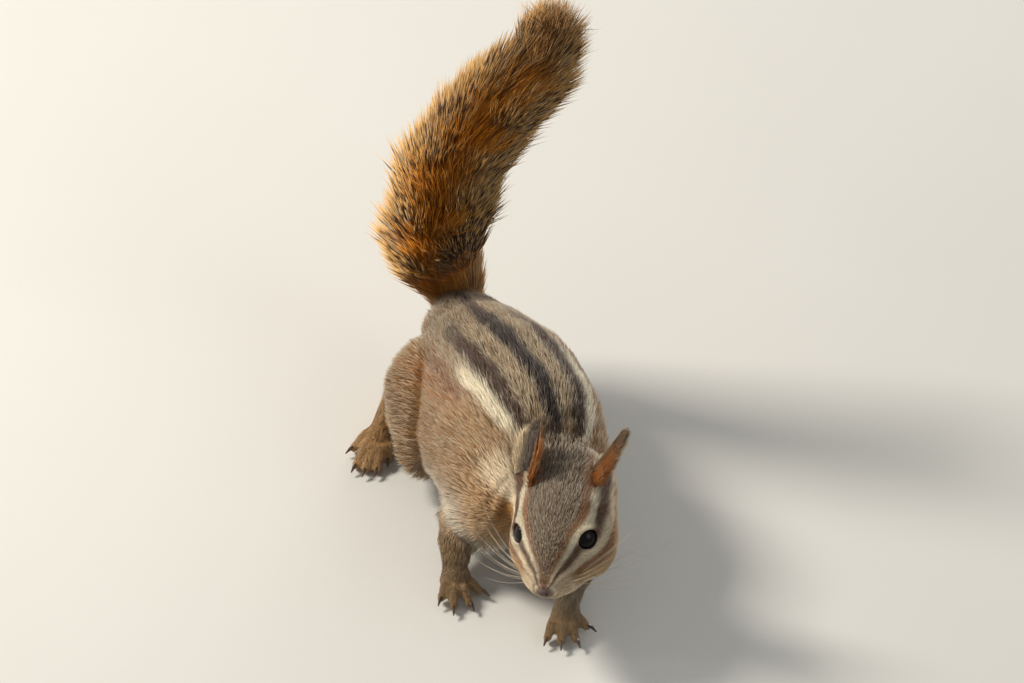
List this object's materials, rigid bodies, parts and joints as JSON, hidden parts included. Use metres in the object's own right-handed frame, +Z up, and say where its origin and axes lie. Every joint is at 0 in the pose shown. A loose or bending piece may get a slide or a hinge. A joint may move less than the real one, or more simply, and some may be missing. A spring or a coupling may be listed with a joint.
{
  "type": "chipmunk",
  "caption": "Life-size small western chipmunk standing on all fours, head low and turned to its right, bushy tail held upright.",
  "frame": {"origin": "on the floor, under the middle of the whole animal's bounding box", "axes": "+Z up from the soles; the body faces -Y, and the animal's left side is +X"},
  "size_m": [0.0542, 0.1056, 0.0948],
  "materials": {
    "coat_head": "short grizzled fur with pale and dark stripes",
    "coat_back": "short dense fur, dark and cream stripes along the back",
    "coat_flank": "short buff and grey fur",
    "coat_tail": "long rusty hair with dark bands and buff tips",
    "ear": "thin skin under very short hair",
    "paw": "skin under very short buff hair",
    "claw": "dark horn",
    "eye": "wet, near black"
  },
  "bodies": {
    "root": {"head": "coat_head", "eye_right": "eye", "eye_left": "eye", "ear_right": "ear", "ear_left": "ear", "neck": "coat_back", "torso": "coat_back", "foreleg_right": "coat_flank", "foreleg_left": "coat_flank", "hind_leg_right": "coat_flank", "hind_leg_left": "coat_flank", "forepaw_right": "paw", "forepaw_left": "paw", "hind_foot_right": "paw", "hind_foot_left": "paw", "forepaw_right_claw_1": "claw", "forepaw_right_claw_2": "claw", "forepaw_right_claw_3": "claw", "forepaw_right_claw_4": "claw", "forepaw_left_claw_1": "claw", "forepaw_left_claw_2": "claw", "forepaw_left_claw_3": "claw", "forepaw_left_claw_4": "claw", "hind_foot_right_claw_1": "claw", "hind_foot_right_claw_2": "claw", "hind_foot_right_claw_3": "claw", "hind_foot_right_claw_4": "claw", "hind_foot_right_claw_5": "claw", "hind_foot_left_claw_1": "claw", "hind_foot_left_claw_2": "claw", "hind_foot_left_claw_3": "claw", "hind_foot_left_claw_4": "claw", "hind_foot_left_claw_5": "claw", "tail": "coat_tail"}
  },
  "joints": []
}
